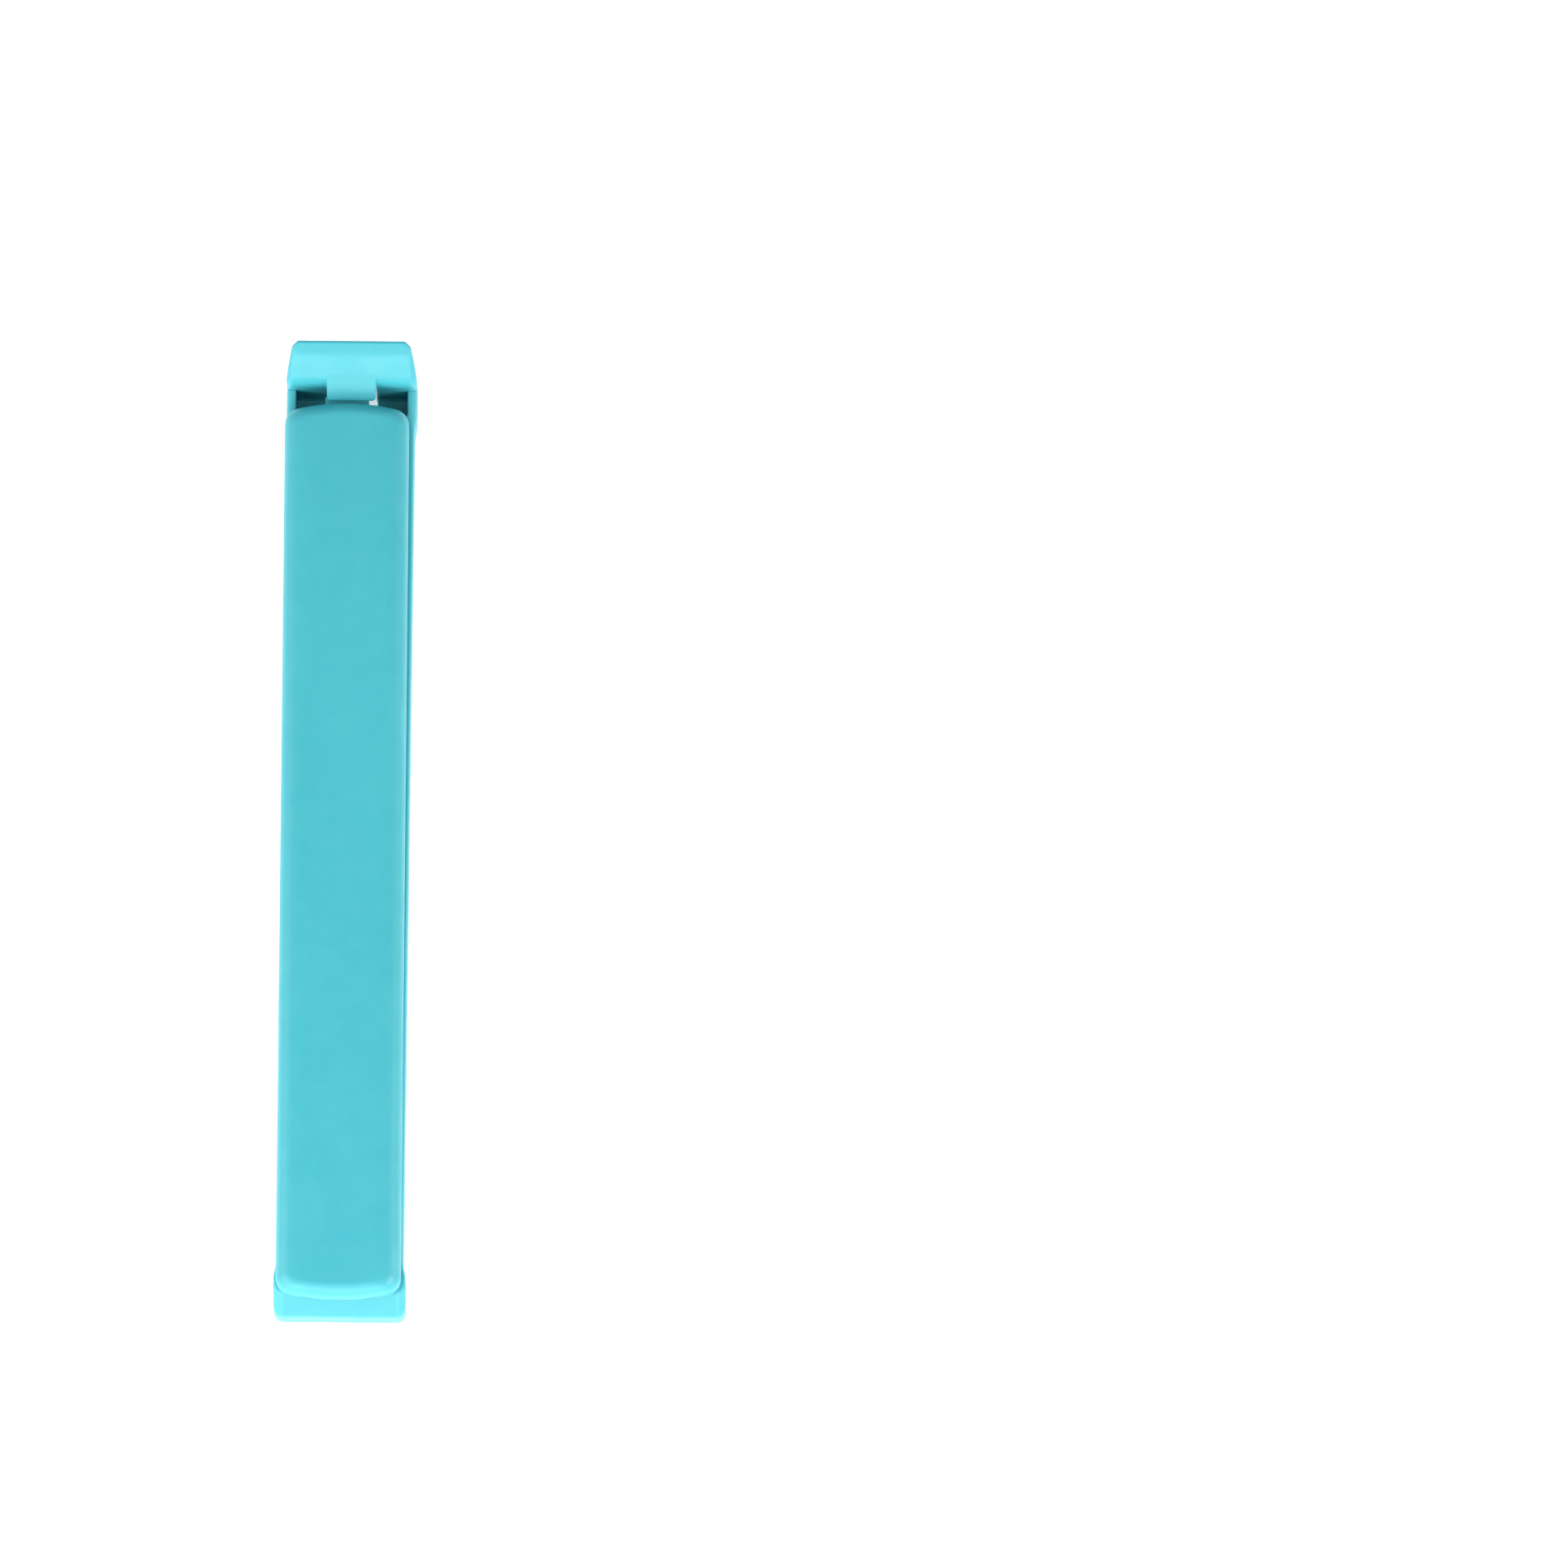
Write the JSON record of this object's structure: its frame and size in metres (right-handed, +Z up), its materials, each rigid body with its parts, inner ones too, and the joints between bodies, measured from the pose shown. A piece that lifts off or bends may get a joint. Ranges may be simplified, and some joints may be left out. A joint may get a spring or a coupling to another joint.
{
  "type": "bag clip",
  "caption": "Long moulded bag clip: a channel-shaped lower jaw, a hinged upper jaw with a pressing blade, and a springy thumb latch that holds them shut.",
  "frame": {"origin": "on the resting face, below the middle of the closed clip's box", "axes": "+Z up away from the resting face, +Y along the clip towards the latch, +X across the clip's width"},
  "size_m": [0.0148, 0.11, 0.0127],
  "materials": {
    "lower_jaw_plastic": "satin moulded polypropylene, fine grain on the end face",
    "latch_plastic": "satin moulded polypropylene",
    "upper_jaw_plastic": "satin moulded polypropylene with fine handling scratches"
  },
  "bodies": {
    "lower_jaw": {"lower_jaw": "lower_jaw_plastic"},
    "upper_jaw": {"upper_jaw": "upper_jaw_plastic"},
    "latch": {"latch": "latch_plastic"}
  },
  "joints": [
    {"name": "jaw_hinge", "type": "hinge", "parent": "lower_jaw", "child": "upper_jaw", "pos_m": [0, -0.05165, 0.008], "axis": [1, 0, 0], "range_deg": [0, 90]},
    {"name": "latch_flex", "type": "hinge", "parent": "lower_jaw", "child": "latch", "pos_m": [0, 0.0513, 0.0019], "axis": [-1, 0, 0], "range_deg": [0, 10], "stiffness_Nm_per_rad": 0.3}
  ]
}
